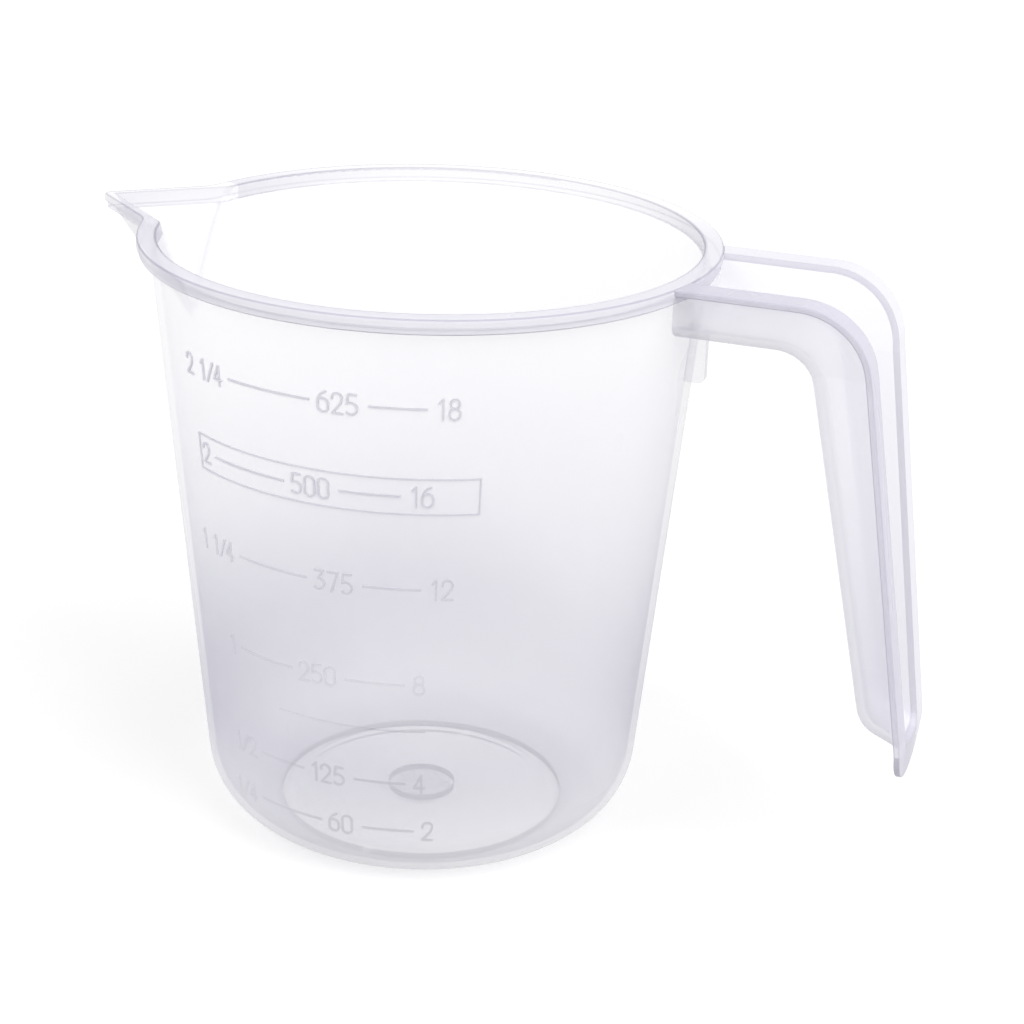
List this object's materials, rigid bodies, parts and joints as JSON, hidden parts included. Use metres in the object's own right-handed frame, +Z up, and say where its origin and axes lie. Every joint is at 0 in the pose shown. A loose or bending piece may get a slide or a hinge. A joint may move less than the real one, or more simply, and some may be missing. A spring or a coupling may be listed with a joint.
{
  "type": "resin mixing cup",
  "caption": "Translucent plastic measuring cup with a pouring spout, a flanged channel handle, a tiered rim and raised graduations, for mixing resin.",
  "frame": {"origin": "on the cup's axis at the level that it stands on", "axes": "+Z up along the cup's axis, +X along the handle; the spout points along -X and the graduations face -Y"},
  "size_m": [0.1678, 0.1098, 0.118],
  "materials": {
    "cup_plastic": "milky translucent, satin sheen",
    "mark_plastic": "raised in the same milky translucent plastic"
  },
  "bodies": {
    "root": {"cup_wall": "cup_plastic", "cup_floor": "cup_plastic", "gate_dimple": "cup_plastic", "rim_band": "cup_plastic", "pour_spout": "cup_plastic", "spout_lip": "cup_plastic", "handle_grip": "cup_plastic", "handle_flange": "cup_plastic", "handle_root": "cup_plastic", "handle_rib": "cup_plastic", "mark_frame": "mark_plastic", "guide_line": "mark_plastic", "marks_625": "mark_plastic", "marks_500": "mark_plastic", "marks_375": "mark_plastic", "marks_250": "mark_plastic", "marks_125": "mark_plastic", "marks_60": "mark_plastic"}
  },
  "joints": []
}
